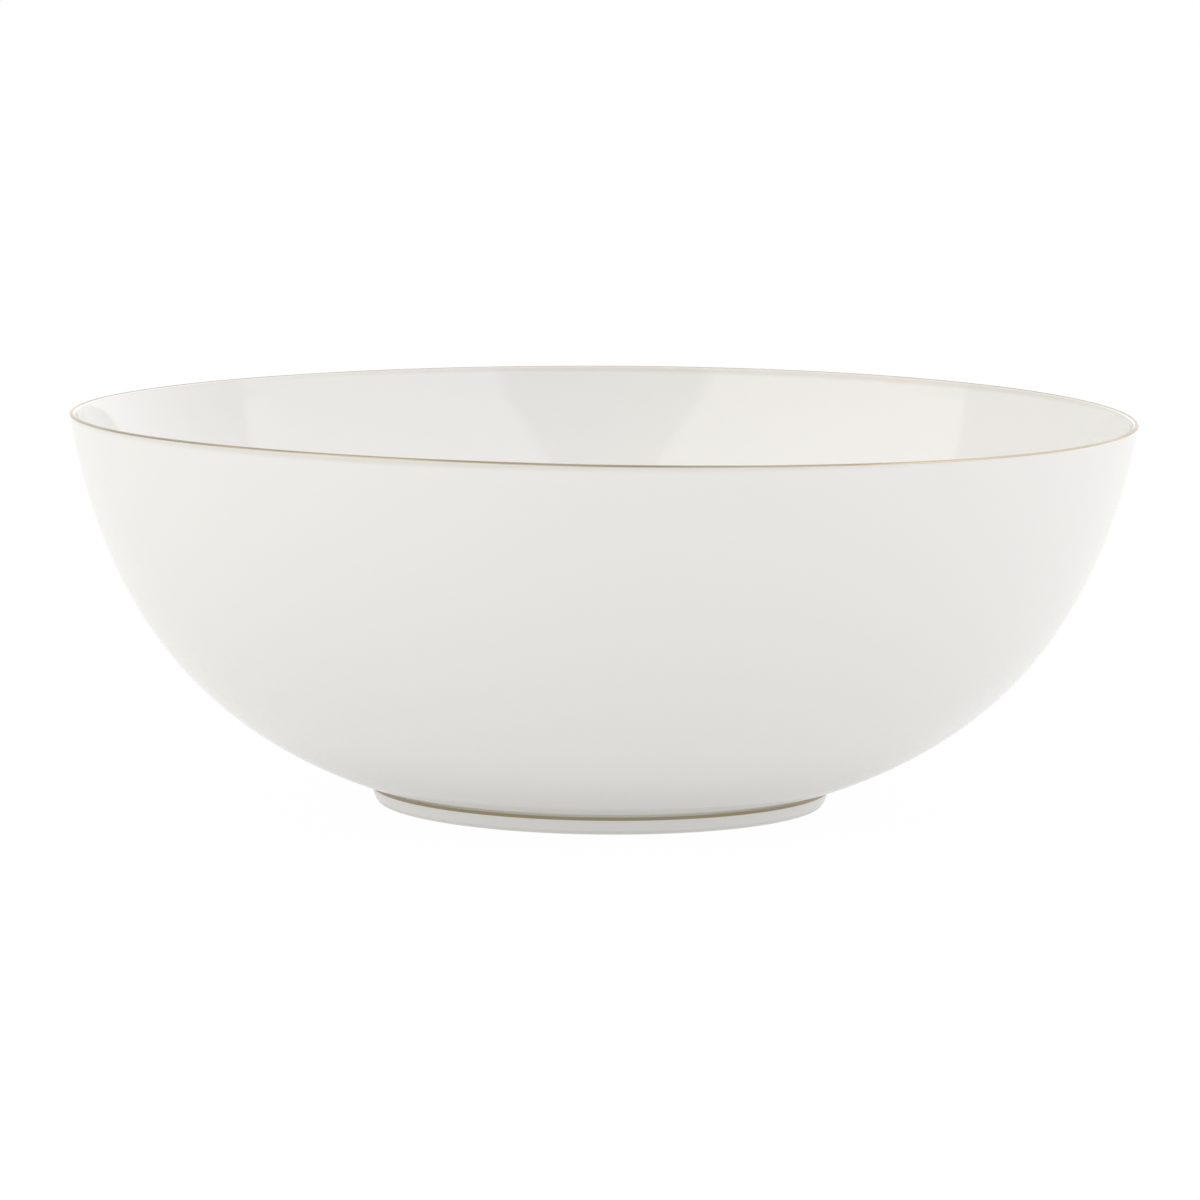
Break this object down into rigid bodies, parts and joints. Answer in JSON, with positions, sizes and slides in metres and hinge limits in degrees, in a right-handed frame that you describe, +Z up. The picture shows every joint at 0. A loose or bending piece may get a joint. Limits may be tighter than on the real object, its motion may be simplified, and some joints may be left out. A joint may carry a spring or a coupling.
{
  "type": "serving bowl",
  "caption": "Round white glazed porcelain serving bowl, low and open, on a short tapered foot ring, with a fine gold line on the lip and another above the foot.",
  "frame": {"origin": "centre of the circle that the foot ring stands on, at the height of the table", "axes": "+Z up along the bowl's own axis; X and Y are level and the bowl is the same all round"},
  "size_m": [0.254, 0.254, 0.0933],
  "materials": {
    "biscuit": "matte",
    "white_glaze": "gloss",
    "fired_gold": "gloss"
  },
  "bodies": {
    "root": {"bowl_body": "biscuit", "foot_ring": "biscuit", "foot_slip_seam": "biscuit", "interior_glaze": "white_glaze", "exterior_glaze": "white_glaze", "recess_glaze": "white_glaze", "rim_gold_line": "fired_gold", "foot_gold_line": "fired_gold"}
  },
  "joints": []
}
